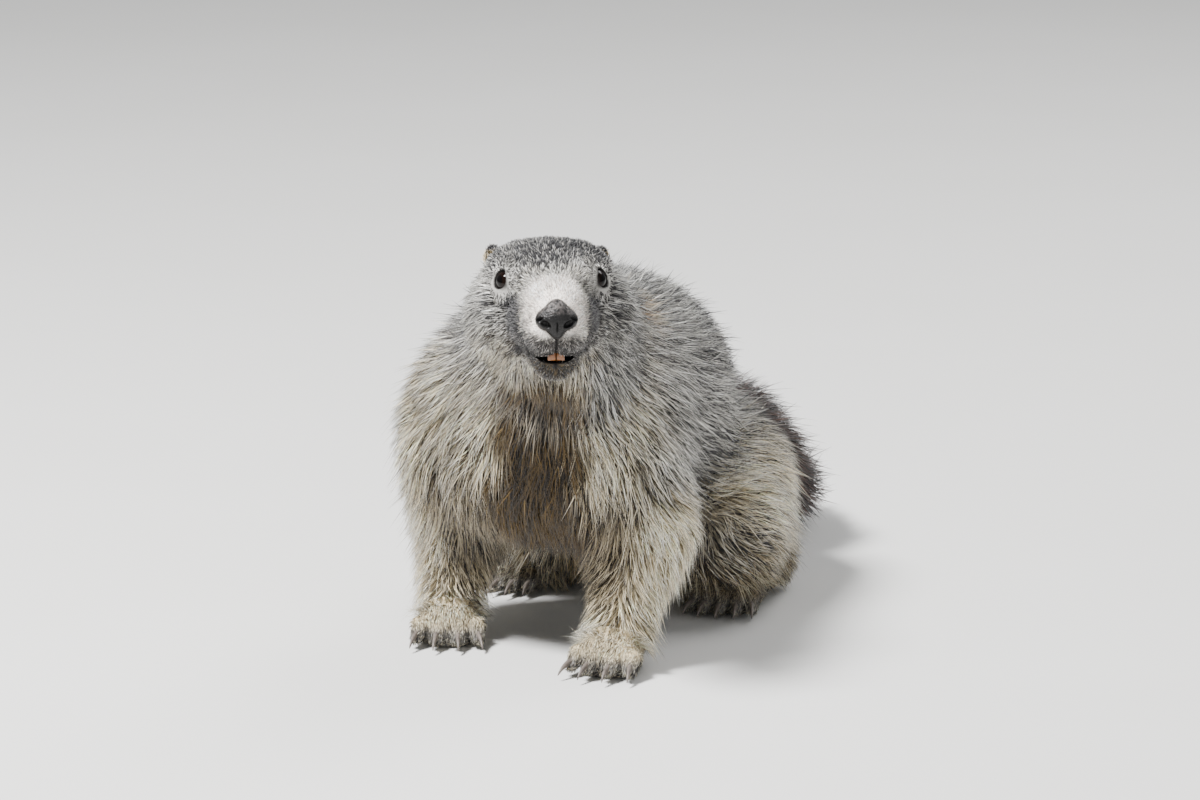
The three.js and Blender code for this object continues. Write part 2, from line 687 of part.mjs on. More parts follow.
// The head's locks lie over the neck, the neck's over the torso, and the torso's over the tail and legs
const headCore = netOf(body, vec(-78, -70, -78), vec(66, 68, 36), headCell, headFrame);
let head = headCore.intersect(region(partPlanes.head)).add(locksOf("head"));
for (const side of Object.values(sides)) head = head.add(lids(side));
head = head.subtract(mouth()).subtract(noseSolid(partGap));
for (const [name, side] of Object.entries(sides)) {
  for (const piece of [eyeball(side, partGap), ear(name, false, partGap), incisor(side, partGap)]) {
    head = head.subtract(piece);
  }
  addPart("eye_" + name, eyeball(side, 0), materials.eye);
  addPart("ear_" + name, ear(name, true), materials.fur);
  addPart("incisor_" + name, incisor(side), materials.tooth);
}
addPart("head", head, materials.fur);
addPart("nose", noseSolid(0).subtract(nostrils()).subtract(philtrum()), materials.nose);

const overNeck = locksOf("head", "grown");
const overTorso = overNeck.add(locksOf("neck", "grown"));
const overLegs = overTorso.add(locksOf("torso", "grown"));
const behindHead = region([facingBack(napePlane)], -partGap);
const neckRegion = region(partPlanes.neck, -partGap);
const neck = whole.intersect(neckRegion).add(locksOf("neck").intersect(behindHead)).subtract(overNeck);
addPart("neck", neck, materials.fur);

const torsoLocks = locksOf("torso").intersect(behindHead).subtract(region([neckPlane]));
let torso = whole.subtract(region([neckPlane])).subtract(region([tailPlane], partGap));
const ends = ["foreleg_right", "foreleg_left", "hindleg_right", "hindleg_left", "tail"];
for (const part of ends) {
  let end = whole.add(locksOf(part)).intersect(region(partPlanes[part])).subtract(overLegs);
  for (const [, , grown] of pawParts) end = end.subtract(grown);
  addPart(part, end, materials.fur);
  torso = torso.subtract(region(partPlanes[part], partGap));
}
torso = torso.add(torsoLocks).subtract(overTorso);
for (const [name, solid, grown] of pawParts) {
  torso = torso.subtract(grown);
  addPart(name, solid, materials.paw);
}
addPart("torso", torso, materials.fur);

// The origin is on the floor, below the middle of the animal's bounding box
const bounds = new THREE.Box3().setFromObject(marmot);
const middle = bounds.getCenter(vec(0, 0, 0));
marmot.position.set(-middle.x, -middle.y, 0);

export default marmot;
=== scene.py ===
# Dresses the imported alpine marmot: one skin with a coat of mesh tufts, then eyes, nose, teeth, claws and
# whiskers. Shapes are worked out in millimetres where the body was modelled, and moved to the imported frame
# as they are made.
import math

import bpy
import numpy as np
import openvdb
from mathutils import Matrix, Vector, noise
from mathutils.kdtree import KDTree


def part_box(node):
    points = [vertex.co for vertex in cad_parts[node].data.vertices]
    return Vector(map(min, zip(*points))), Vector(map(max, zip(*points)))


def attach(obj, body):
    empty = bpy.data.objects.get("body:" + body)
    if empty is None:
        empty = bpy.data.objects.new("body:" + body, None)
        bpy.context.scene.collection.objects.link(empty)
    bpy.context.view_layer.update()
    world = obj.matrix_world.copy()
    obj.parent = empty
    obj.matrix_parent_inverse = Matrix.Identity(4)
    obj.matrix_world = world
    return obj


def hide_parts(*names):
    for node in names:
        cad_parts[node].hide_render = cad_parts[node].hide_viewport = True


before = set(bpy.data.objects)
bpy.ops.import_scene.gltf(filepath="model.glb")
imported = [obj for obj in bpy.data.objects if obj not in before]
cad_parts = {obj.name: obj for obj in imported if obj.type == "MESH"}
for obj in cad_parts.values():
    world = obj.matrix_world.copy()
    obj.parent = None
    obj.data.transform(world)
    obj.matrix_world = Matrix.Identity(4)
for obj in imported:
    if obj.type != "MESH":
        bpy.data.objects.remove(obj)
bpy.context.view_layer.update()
rng = np.random.default_rng(7)

head = {"eyePoint": (39, -165, 212), "yaw": 28, "pitch": 2.4, "eyeSpread": 21.5, "eyeRadius": 6.6}
# Depth of the coat from skin to tips
depths = {"ear": 1.3, "face": 2.5, "crown": 5, "cheek": 10, "neck": 15, "body": 15, "limb": 10, "tail": 20}

yaw, pitch = math.radians(head["yaw"]), math.radians(head["pitch"])
headForward = np.array([math.sin(yaw) * math.cos(pitch), -math.cos(yaw) * math.cos(pitch), math.sin(pitch)])
headLeft = np.array([math.cos(yaw), math.sin(yaw), 0])
headAxes = np.array([headForward, headLeft, np.cross(headForward, headLeft)])
eyePoint = np.array(head["eyePoint"], float)
sides = {"right": -1, "left": 1}

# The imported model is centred, so the left eye tells how far it was moved
low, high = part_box("eye_left")
shift = np.array((low + high) / 2) - (eyePoint + headLeft * head["eyeSpread"]) / 1000
print("frame shift in mm", (shift * 1000).round(2))


def onHead(points):
    return eyePoint + np.asarray(points, float) @ headAxes


def toHead(points):
    return (points - eyePoint) @ headAxes.T


def headWay(way):
    return np.asarray(way, float) @ headAxes


def unit(v):
    return v / np.maximum(np.linalg.norm(v, axis=-1, keepdims=True), 1e-9)


def smooth(low, high, value):
    t = np.clip((value - low) / (high - low), 0, 1)
    return t * t * (3 - 2 * t)


def toLinear(hexColour):
    parts = [int(hexColour[i:i + 2], 16) / 255 for i in (1, 3, 5)]
    return [c / 12.92 if c <= 0.04045 else ((c + 0.055) / 1.055) ** 2.4 for c in parts]


# Distance to an ellipsoid, close to true near its surface; the columns of axes are its own axes
def oval(points, centre, radii, axes=np.eye(3)):
    p = (points - np.asarray(centre, float)) @ axes / np.asarray(radii, float)
    k0 = np.sqrt((p * p).sum(1))
    k1 = np.sqrt(((p / np.asarray(radii, float)) ** 2).sum(1))
    return k0 * (k0 - 1) / np.maximum(k1, 1e-9)


# Masses of the body: distance to the skin, depth of coat, softness of blend, and the way that the hair lies
def ellipsoid(centre, radii, depth, blend, lie, axes=np.eye(3)):
    return {"distance": lambda points: oval(points, centre, radii, axes), "middle": np.array(centre, float),
            "size": max(radii), "depth": depth, "blend": blend, "lie": np.array(lie, float)}


def headMass(centre, radii, depth, blend, lie=(-1, 0, 0)):
    return ellipsoid(onHead(centre), radii, depth, blend, headWay(lie), headAxes.T)


def limb(start, end, startRadius, endRadius, depth, blend, lie=None):
    start, end = np.array(start, float), np.array(end, float)
    along = end - start

    def distance(points):
        q = points - start
        t = np.clip(q @ along / (along @ along), 0, 1)
        gap = q - t[:, None] * along
        return np.sqrt((gap * gap).sum(1)) - (startRadius + (endRadius - startRadius) * t)

    size = np.linalg.norm(along) / 2 + max(startRadius, endRadius)
    return {"distance": distance, "middle": (start + end) / 2, "size": size, "depth": depth, "blend": blend,
            "lie": unit(along) if lie is None else np.array(lie, float)}


masses = [
    ellipsoid((0, -86, 118), (52, 48, 54), depths["body"], 16, (0, 0.3, -1)),
    ellipsoid((2, -44, 132), (50, 56, 48), depths["body"], 24, (0, 0.8, -0.6)),
    ellipsoid((0, 4, 112), (50, 62, 58), depths["body"], 24, (0, 1, -0.5)),
    ellipsoid((0, 72, 62), (46, 46, 41), depths["body"], 26, (0, 1, -0.6)),
]
for s in sides.values():
    masses += [
        ellipsoid((s * 42 - 2, -86, 108), (24, 36, 44), depths["body"], 16, (0, 0.4, -1)),
        ellipsoid((s * 40, 52, 50), (26, 46, 40), depths["body"], 14, (s * 0.6, 0.8, -0.8)),
    ]
masses += [
    limb((3, -78, 138), (28, -128, 176), 49, 30, depths["neck"], 18, (-0.2, 0.6, -0.8)),
    limb((6, -66, 152), (22, -122, 190), 29, 18, depths["neck"], 16, (-0.2, 0.8, -0.5)),
]
legs = {
    "foreRight": [(-42, -86, 104), (-54, -74, 66), (-52, -96, 24)],
    "foreLeft": [(44, -90, 104), (58, -92, 66), (57, -118, 24)],
    "hindRight": [(-34, 60, 62), (-60, 16, 42), (-57, 66, 18)],
    "hindLeft": [(34, 60, 62), (60, 16, 42), (57, 66, 18)],
}
for name, s in sides.items():
    a, b, c = legs["fore" + name.title()]
    d, e, f = legs["hind" + name.title()]
    masses += [
        limb(a, b, 24, 18, depths["limb"] + 2, 14, (0, 0.3, -1)),
        limb(b, c, 20, 11, depths["limb"], 10, (0, 0.1, -1)),
        limb(d, e, 28, 22, depths["limb"] + 3, 14, (s * 0.9, 0.7, -0.8)),
        limb(e, f, 18, 13, depths["limb"], 12, (s * 0.5, 0.7, -1)),
    ]
masses += [  # skull, bridge, muzzle, jaw, chin, throat
    headMass((-22, 0, -5), (33, 23, 19.5), depths["crown"], 8),
    headMass((14, 0, -6.5), (34, 13.5, 11.5), depths["face"], 8),
    headMass((29, 0, -12.5), (19.5, 12.5, 12), depths["face"], 6),
    headMass((12, 0, -32), (28, 11, 9), depths["face"] + 1.5, 6, (-1, 0, -0.2)),
    headMass((29, 0, -38), (8, 7.5, 5.5), depths["face"], 4, (-1, 0, -0.4)),
    headMass((-26, 0, -28), (26, 22, 19), depths["cheek"], 10, (-0.7, 0, -0.8)),
]
for s in sides.values():  # brow, temple, rim of the eye socket, lip pad, jowl, cheek
    masses += [
        headMass((0, s * 11, 4), (13, 8, 5), depths["face"], 7, (-1, s * 0.3, 0)),
        headMass((-24, s * 16.5, 0), (20, 11, 11), depths["crown"], 8, (-1, s * 0.2, 0)),
        headMass((-4, s * 15.5, -0.5), (13, 9, 10.5), depths["face"], 6, (-1, s * 0.3, 0)),
        headMass((33, s * 6, -20.5), (14, 8, 9), depths["face"], 3, (-1, s * 0.3, -0.3)),
        headMass((2, s * 12, -18), (28, 10, 12), depths["face"] + 1, 6, (-1, s * 0.5, -0.3)),
        headMass((-20, s * 21, -19), (23, 14, 17), depths["cheek"], 10, (-0.8, s * 0.6, -0.6)),
    ]
tail = [(3, 106, 80), (14, 131, 74), (19, 156, 54), (20, 182, 31), (12, 213, 20), (-3, 239, 19)]
tailMasses = [limb(a, b, 13 - 2 * i, 11 - 2 * i, depths["tail"], 10)
              for i, (a, b) in enumerate(zip(tail, tail[1:]))]
masses += tailMasses

# Paws: palm, toes that arch down in front of it, and where each claw starts and points
forepaw = {"palm": 12.5, "toes": 4, "toeLength": 17, "toeRadius": 5.2, "claw": 12, "ahead": 15,
           "turned": {-1: 22, 1: 2}}
hindfoot = {"palm": 12, "toes": 5, "toeLength": 21, "toeRadius": 4.8, "claw": 11, "turned": 8}
pawFur, toeSpread, floorGap = 1.4, math.radians(15), 0.4
paws, claws = [], []
for name, s in sides.items():
    wrist, ankle = (np.array(legs[kind + name.title()][2], float) for kind in ("fore", "hind"))
    turned = math.radians(forepaw["turned"][s])
    ahead = (math.sin(turned) * forepaw["ahead"], -math.cos(turned) * forepaw["ahead"], -15)
    paws.append({**forepaw, "heel": (wrist[0], wrist[1] + 4, 13), "ball": wrist + ahead, "yaw": turned})
    paws.append({**hindfoot, "heel": (ankle[0], ankle[1] + 14, 11), "ball": ankle + (s * 6, -52, -9.5),
                 "yaw": math.radians(s * hindfoot["turned"])})
for paw in paws:
    forward = np.array([math.sin(paw["yaw"]), -math.cos(paw["yaw"]), 0])
    across = np.array([-forward[1], forward[0], 0])
    heel, ball = np.array(paw["heel"], float), np.array(paw["ball"], float)
    for shareAcross in (-0.3, 0, 0.3):
        off = across * shareAcross * paw["palm"]
        radii = paw["palm"] * 0.62 - pawFur, paw["palm"] - pawFur
        masses.append(limb(heel + off * 0.8, ball + off, *radii, 3, 4, forward * 0.9 - [0, 0, 0.4]))
    for i in range(paw["toes"]):
        place = (i - (paw["toes"] - 1) / 2) / ((paw["toes"] - 1) / 2)
        bend = place * toeSpread
        way = forward * math.cos(bend) + across * math.sin(bend)
        length = paw["toeLength"] * (1 - 0.22 * place * place)
        root = ball + across * place * paw["palm"] * 1.02
        bone = [root + way * share * length for share in (0, 0.5, 1)]
        for point, rise in zip(bone, (0.1, 0.3, -0.55)):
            point[2] = max(root[2] + rise * paw["toeRadius"], paw["toeRadius"] * 0.55)
        r = paw["toeRadius"] - 0.9
        masses.append(limb(bone[0], bone[1], r, r, 2, 1.6, forward * 0.9 - [0, 0, 0.4]))
        masses.append(limb(bone[1], bone[2], r, r * 0.66, 2, 1.6, forward * 0.9 - [0, 0, 0.4]))
        claws.append({"start": bone[2], "way": way, "length": paw["claw"], "toeRadius": paw["toeRadius"]})


# Smooth union of the masses: distance to the skin, and in the same shares the coat's depth and lie. A mass
# further off than the reach is left out, as it would change nothing
def coatAt(points, lieToo=True, reach=48):
    skin = np.full(len(points), 1e3)
    depth = np.zeros(len(points))
    lie = np.zeros((len(points), 3))
    for mass in masses:
        gap = points - mass["middle"]
        near = np.nonzero((gap * gap).sum(1) < (mass["size"] + reach) ** 2)[0]
        if not len(near):
            continue
        d, before, blend = mass["distance"](points[near]), skin[near], mass["blend"]
        share = np.clip(0.5 + (before - d) / (2 * blend), 0, 1)
        skin[near] = np.where(share == 1, d, before + (d - before) * share - blend * share * (1 - share))
        depth[near] += (mass["depth"] - depth[near]) * share
        if lieToo:
            lie[near] += (mass["lie"] - lie[near]) * share[:, None]
    return skin, depth, lie


# Face, ears, mouth and nose, shaped in the head's own axes. Forms are given by place and half sizes; a place
# that is given once for both sides is the left one's
face = {"middle": (0, 0, -5), "reach": 78, "flat": 1.7, "lipFill": 0.8, "lid": 7.2, "eyeHoleOut": 7.6,
        "eyeHole": (5.5, 4.6, 5.2), "cornerOff": (0, 3.6, -0.6), "eyeCorner": (3.0, 3.0, 4.6),
        "mouth": ((30, 0, -33), (20.5, 9.4, 2.5)), "mouthBack": ((22, 0, -33), (16.5, 6, 6)),
        "cleft": ((46, 0, -31), (5, 3.2, 2.2))}
ear = {"place": {-1: (-38, -26.4, 4.6), 1: (-38, 26.8, 3.2)}, "turned": (-12, 52), "size": (3.6, 7.2, 8.4),
       "cupOff": (2.2, 4, 1.4), "cup": (4.3, 5.2, 6.4)}
nose = {"pad": ((46, 0, -12.3), (7.2, 10.8, 6.6)), "top": ((45.3, 0, -7.8), (6.4, 5.8, 6.0)),
        "foot": ((45.9, 0, -16.8), (5.8, 4.2, 5.3)), "groove": ((54, 0, -19.5), (3, 0.5, 8)),
        "nostril": ((52.4, 6.2, -13.8), (3.8, 3.3, 1.9)), "nostrilTurned": (28, 22),
        "slit": ((50.2, 9.6, -12.2), (3.4, 3.2, 1.0)), "slitTurned": (-32, 40), "cell": 0.5}
eyeWay = {s: unit(np.array([0.5, s * 0.84, 0.2])) for s in sides.values()}
eyePlace = {s: (0, s * head["eyeSpread"], 0) for s in sides.values()}
eyeAxes = {s: np.array(Vector(eyeWay[s]).to_track_quat("Z", "Y").to_matrix()) for s in sides.values()}


def mirrored(place, s):
    return np.array(place, float) * (1, s, 1)


def turnOf(turned, s):
    rx, rz = (Matrix.Rotation(math.radians(s * angle), 3, axis) for angle, axis in zip(turned, "XZ"))
    return np.array(rx @ rz)


def join(a, b, blend):
    share = np.clip(0.5 + (a - b) / (2 * blend), 0, 1)
    return a + (b - a) * share - blend * share * (1 - share)


def cut(a, b, blend):
    return -join(-a, b, blend)


def earCup(q, s):
    return oval(q, ear["place"][s] + mirrored(ear["cupOff"], s), ear["cup"], turnOf(ear["turned"], s))


def earDistance(q, s):
    return cut(oval(q, ear["place"][s], ear["size"], turnOf(ear["turned"], s)), earCup(q, s), 0.6)


# Nose: a broad pad, rounded above and narrowed to the cleft below, with comma-shaped nostrils
def noseAt(points):
    q = toHead(points)
    d = join(oval(q, *nose["pad"]), oval(q, *nose["top"]), 3)
    d = join(d, oval(q, *nose["foot"]), 2.5)
    for s in sides.values():
        for form, blend in (("nostril", 0.5), ("slit", 0.4)):
            place, size = nose[form]
            d = cut(d, oval(q, mirrored(place, s), size, turnOf(nose[form + "Turned"], s)), blend)
    return cut(d, oval(q, *nose["groove"]), 0.5)


def faceForms(points, skin):
    near = np.nonzero(np.linalg.norm(points - onHead(face["middle"]), axis=1) < face["reach"])[0]
    q, d = toHead(points[near]), skin[near]
    d = d - face["lipFill"] * smooth(18, 27, q[:, 0]) * smooth(-9, -17, q[:, 2])
    for s, axes in eyeAxes.items():
        d = join(d, earDistance(q, s), 2)
        d = join(d, oval(q, eyePlace[s], (face["lid"],) * 3), 3)
        middle = eyePlace[s] + eyeWay[s] * face["eyeHoleOut"]
        corner = oval(q, middle + axes @ face["cornerOff"], face["eyeCorner"], axes)
        d = cut(d, join(oval(q, middle, face["eyeHole"], axes), corner, 1.2), 0.35)
    d = cut(d, np.maximum(oval(q, *face["mouth"]), -oval(q, *face["mouthBack"])), 0.6)
    skin[near] = cut(d, oval(q, *face["cleft"]), 0.6)
    return skin


# Short fur lies flat, so the skin under it is fuller. Soles stand just clear of the floor
def skinAt(points):
    skin, depth, _ = coatAt(points, False)
    skin -= np.maximum(depth - face["flat"], 0) * smooth(9, 5, depth)
    return np.maximum(faceForms(points, skin), floorGap - points[:, 2])


def slopeOf(field, points, probe=0.3):
    value = field(points)
    return value, np.stack([(field(points + probe * axis) - value) / probe for axis in np.eye(3)], 1)


# Closed surface of a field: its values are worked out near the surface only, meshed, and the points are then
# moved onto it
def meshOf(field, cell, low, high, coarse=4, reach=9, origin=(0, 0, 0), axes=np.eye(3)):
    place = lambda local: np.asarray(origin, float) + local @ axes
    low, high = np.array(low, float), np.array(high, float)
    blockCounts = np.ceil((high - low) / (cell * coarse)).astype(int)
    blocks = np.indices(blockCounts).reshape(3, -1).T
    rough = field(place(low + (blocks + 0.5) * coarse * cell))
    values = np.where(rough.reshape(blockCounts) < 0, -reach, reach).astype(np.float32)
    for axis in range(3):
        values = values.repeat(coarse, axis)
    blocks = blocks[np.abs(rough) < reach * max(1, cell)]
    offsets = np.indices((coarse,) * 3).reshape(3, -1).T
    cells = (blocks[:, None] * coarse + offsets).reshape(-1, 3)
    parts = np.array_split(cells, max(1, len(cells) // 100000))
    values[tuple(cells.T)] = np.concatenate([field(place(low + part * cell)) for part in parts])
    grid = openvdb.FloatGrid(reach)
    grid.copyFromArray(values)
    points, _, squares = grid.convertToPolygons(isovalue=0.0, adaptivity=0.0)
    points = place(low + points * cell)
    for _ in range(2):
        value, slope = slopeOf(field, points)
        step = np.clip(value / np.maximum((slope * slope).sum(1), 0.3), -cell / 3, cell / 3)
        points -= slope * step[:, None]
    return points, squares[:, ::-1]


def kept(points, squares, keep):
    squares = squares[keep(points[squares].mean(1))]
    used = np.unique(squares)
    order = np.zeros(len(points), int)
    order[used] = np.arange(len(used))
    return points[used], order[squares]


def addPiece(name, points, corners, faceSize, material, replaces=()):
    mesh = bpy.data.meshes.new(name)
    corners = np.asarray(corners, np.int32).ravel()
    sizes = [faceSize] * (len(corners) // faceSize) if np.isscalar(faceSize) else faceSize
    mesh.vertices.add(len(points))
    mesh.vertices.foreach_set("co", (points / 1000 + shift).astype(np.float32).ravel())
    mesh.loops.add(len(corners))
    mesh.loops.foreach_set("vertex_index", corners)
    mesh.polygons.add(len(sizes))
    mesh.polygons.foreach_set("loop_start", np.concatenate([[0], np.cumsum(sizes)[:-1]]).astype(np.int32))
    mesh.update(calc_edges=True)
    mesh.polygons.foreach_set("use_smooth", np.full(len(sizes), True))
    mesh.materials.append(material)
    piece = bpy.data.objects.new(name, mesh)
    bpy.context.scene.collection.objects.link(piece)
    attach(piece, "root")
    if replaces:
        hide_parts(*replaces)
    return piece


def paint(piece, colours):
    layer = piece.data.color_attributes.new("marks", "FLOAT_COLOR", "POINT")
    rgba = np.ones((len(colours), 4), np.float32)
    rgba[:, :3] = np.clip(colours, 0, 1)
    layer.data.foreach_set("color", rgba.ravel())


def noiseAt(points, size, seed):
    return np.array([noise.noise(Vector(p)) for p in points / size + seed * 17.3])


# Markings and painted shade: colours of the hair at its root, in its pale band and at its tip, and how many
# hairs are dark
hair = {name: np.array(toLinear(value)) for name, value in {
    "underfur": "#1e1a18", "black": "#121013", "grey": "#98958f", "smoke": "#575558", "silver": "#cfccc6",
    "pale": "#fffbf0", "cream": "#ffedc6", "buff": "#d6c092", "olive": "#5f5138", "rust": "#c08c50",
    "throat": "#5d4a28", "umber": "#2a2011", "fawn": "#94805a", "tailDark": "#1d1613", "tailTip": "#6d4632",
    "bridge": "#fff4ea", "lip": "#6b6662", "toe": "#4a4542", "rim": "#0d0a09"}.items()}
markingAndShadeZones = {
    # name: share of dark hairs, root, band, tip
    "back": (0.45, "underfur", "silver", "pale"), "flank": (0.46, "underfur", "grey", "pale"),
    "chest": (0.3, "olive", "cream", "pale"), "leg": (0.2, "olive", "cream", "pale"),
    "outer": (0.06, "fawn", "cream", "pale"), "inner": (0.4, "umber", "olive", "fawn"),
    "haunch": (0.24, "smoke", "cream", "pale"), "haunchLow": (0.35, "olive", "fawn", "cream"),
    "belly": (0.1, "umber", "fawn", "buff"), "throat": (0.3, "umber", "throat", "throat"),
    "patch": (0.1, "olive", "rust", "cream"), "tail": (0.4, "tailDark", "tailDark", "tailTip"),
    "crown": (0.68, "black", "grey", "pale"), "brow": (0.54, "underfur", "silver", "pale"),
    "bridge": (0.04, "bridge", "bridge", "bridge"), "side": (0.1, "grey", "silver", "cream"),
    "stripe": (0.62, "black", "smoke", "grey"), "lip": (0.54, "underfur", "lip", "silver"),
    "chin": (0.5, "underfur", "olive", "silver"), "cheek": (0.42, "underfur", "silver", "pale"),
    "shade": (0.5, "underfur", "grey", "pale"), "jaw": (0.33, "olive", "silver", "cream"),
    "toe": (0.35, "toe", "grey", "cream"),
    "ear": (0.25, "smoke", "buff", "silver"), "earTop": (0.5, "black", "smoke", "silver")}


def markingsAndShade(points):
    x, y, z = points.T
    q = toHead(points)
    forward, left, up = q.T
    ragged, fine = 7 * noiseAt(points, 14, 3), 2.5 * noiseAt(points, 4, 4)
    inHead = smooth(-62, -46, forward + 0.4 * up + ragged)
    front = smooth(-58, -100, y + 0.45 * np.maximum(x, 0) + ragged)
    tailGap = np.min([mass["distance"](points) for mass in tailMasses], 0)
    breast = np.abs(x - 13 - 7 * smooth(90, 150, z) + 0.8 * ragged) / (12 + 9 * smooth(142, 84, z))
    innerLeg = np.where(x > 0, smooth(66, 54, x + 0.5 * ragged), smooth(-56, -44, x + 0.5 * ragged))
    outerLeg = np.where(x > 0, smooth(62, 70, x + fine), smooth(-54, -60, x + fine))
    aboveEar = up - np.where(left > 0, ear["place"][1][2], ear["place"][-1][2])
    earGap = np.where(left > 0, earDistance(q, 1), earDistance(q, -1))
    onEar = smooth(2.6, 1.2, earGap) * smooth(-7, -4, aboveEar)
    shares = [
        ("flank", smooth(120, 70, z + ragged) * smooth(-60, -30, y)),
        ("chest", front * smooth(178, 138, z + ragged)),
        ("leg", smooth(104, 74, z + ragged) * smooth(-30, -62, y)),
        # Painted shade: the inner sides of the forelegs, between the legs, are darker olive-brown
        ("inner", 0.75 * innerLeg * smooth(112, 90, z) * smooth(26, 48, z) * smooth(-30, -62, y)),
        ("outer", outerLeg * smooth(112, 84, z + ragged) * smooth(-30, -62, y)),
        ("haunch", smooth(108, 74, z + ragged) * smooth(-20, 10, y)),
        ("haunchLow", 0.8 * smooth(48, 26, z + ragged) * smooth(-20, 0, y)),
        ("belly", smooth(64, 34, z) * smooth(46, 20, np.abs(x)) * smooth(-60, -30, y)),
        ("patch", 0.9 * smooth(15, 5, np.linalg.norm((points - (78, 62, 80)) / (1.6, 1, 1), axis=1)
                               + ragged)),
        ("patch", 0.9 * smooth(18, 7, np.linalg.norm(points - (48, -80, 184), axis=1) + ragged)),
        # The brown patch on the chest below the chin: its own brown, made darker as painted shade under the
        # head
        ("throat", smooth(1.7, 0.95, breast) * smooth(50, 74, z) * smooth(184, 168, z) * front),
        ("tail", smooth(45, 32, tailGap + 0.6 * ragged)),
        ("cheek", inHead),
        ("jaw", inHead * smooth(-14, -34, up + 0.5 * ragged)),
        # Painted shade: the lower cheek on the animal's left only is darker, as the side turned from the
        # light; partly its own darker fur
        ("shade", inHead * smooth(15, 21, left + ragged) * smooth(-11, -21, up) * smooth(-40, -28, forward)),
        # The same brown carried under the jaw: painted shade under the head
        ("throat", inHead * smooth(20, 12, np.abs(left) + fine) * smooth(-40, -46, up)
         * smooth(2, -8, forward + fine)),
        ("brow", inHead * smooth(-3, 4, up + fine) * smooth(-26, -8, forward)),
        ("crown", inHead * smooth(5, 11, up + 0.3 * ragged + fine) * smooth(12, 4, forward + 1.6 * fine)),
        ("ear", onEar),
        ("earTop", onEar * smooth(4.2, 6.8, aboveEar)),
        ("side", inHead * smooth(21, 17, np.abs(left) + fine) * smooth(9, 19, forward + fine)
         * smooth(-29, -21, up)),
        ("bridge", inHead * smooth(16.5, 12, np.abs(left) + 1.4 * fine) * smooth(-22, -15, up + fine)
         * smooth(15, 25, forward + 1.6 * fine)),
        ("stripe", inHead * smooth(-3, -8, up) * smooth(-38, -32, up) * smooth(-4, 4, forward)
         * smooth(5, 1.8, np.abs(np.abs(left) - 19.5 + 5 * smooth(-18, -32, up)) + 0.5 * fine)),
        ("lip", inHead * smooth(16, 26, forward + fine) * smooth(-19, -24, up + fine)),
        ("chin", inHead * smooth(4, 12, forward + fine) * smooth(-34, -37, up)),
        ("toe", smooth(15, 8, z)),
    ]
    dark = np.full(len(points), markingAndShadeZones["back"][0])
    colours = [np.tile(hair[name], (len(points), 1)) for name in markingAndShadeZones["back"][1:]]
    for name, share in shares:
        zone = markingAndShadeZones[name]
        dark += (zone[0] - dark) * share
        colours = [c + (hair[other] - c) * share[:, None] for c, other in zip(colours, zone[1:])]
    return dark, *colours


# Texture scale for a pattern that repeats every so many millimetres
def mm(size):
    return 1000 / size


def addNode(tree, kind, links=(), **settings):
    made = tree.nodes.new(kind)
    for key, value in settings.items():
        if key in made.inputs.keys():
            made.inputs[key].default_value = value
        else:
            setattr(made, key, value)
    for output, key in links:
        tree.links.new(output, made.inputs[key])
    return made


def newMaterial(name, **settings):
    material = bpy.data.materials.new(name)
    material.use_nodes = True
    shader = material.node_tree.nodes["Principled BSDF"]
    for key, value in settings.items():
        shader.inputs[key].default_value = value
    return material, material.node_tree, shader


def addPattern(tree, kind, size, **settings):
    place = addNode(tree, "ShaderNodeTexCoord").outputs["Object"]
    return addNode(tree, "ShaderNodeTex" + kind, [(place, "Vector")], Scale=mm(size), **settings)


# Base colour out of the marks, made darker and lighter by a pattern
def colourMarks(tree, shader, pattern, darkest, lightest):
    marks = addNode(tree, "ShaderNodeVertexColor", layer_name="marks")
    tones = addNode(tree, "ShaderNodeMapRange", [(pattern.outputs["Fac"], "Value")],
                    **{"To Min": darkest, "To Max": lightest})
    tinted = addNode(tree, "ShaderNodeHueSaturation",
                     [(marks.outputs["Color"], "Color"), (tones.outputs["Result"], "Value")])
    tree.links.new(tinted.outputs["Color"], shader.inputs["Base Color"])


# Base colour between two tones, by a pattern
def colourRamp(tree, shader, pattern, *tones):
    ramp = addNode(tree, "ShaderNodeValToRGB", [(pattern.outputs["Fac"], "Fac")])
    for stop, tone in zip(ramp.color_ramp.elements, tones):
        stop.color = (*toLinear(tone), 1)
    tree.links.new(ramp.outputs["Color"], shader.inputs["Base Color"])


def addBump(tree, shader, height, strength, depth):
    raised = addNode(tree, "ShaderNodeBump", [(height, "Height")], Strength=strength, Distance=depth)
    tree.links.new(raised.outputs["Normal"], shader.inputs["Normal"])


# Guard hair, keratin, grown: dull strands that catch a soft light at grazing angles, in the coat's own marks
guardHair, tree, shader = newMaterial("guardHairKeratin", **{
    "Roughness": 0.58, "Specular IOR Level": 0.3, "Sheen Weight": 0.12, "Sheen Roughness": 0.4})
colourMarks(tree, shader, addPattern(tree, "Noise", 1.4, Detail=2.0), 0.7, 1.3)

# Hide under short fur, grown: fine bristles of about half a millimetre show as bump, in the coat's own marks
furredHide, tree, shader = newMaterial("hideUnderShortFur", **{"Roughness": 0.72, "Specular IOR Level": 0.2})
bristles = addPattern(tree, "Noise", 0.9, Detail=3.0)
colourMarks(tree, shader, bristles, 0.6, 1.35)
addBump(tree, shader, bristles.outputs["Fac"], 0.6, 0.0006)

# Cornea over a dark brown iris, wet: almost black, with one sharp highlight that makes the eye look alive
cornea, tree, shader = newMaterial("wetCornea", **{"Roughness": 0.06, "IOR": 1.26})
marks = addNode(tree, "ShaderNodeVertexColor", layer_name="marks")
tree.links.new(marks.outputs["Color"], shader.inputs["Base Color"])

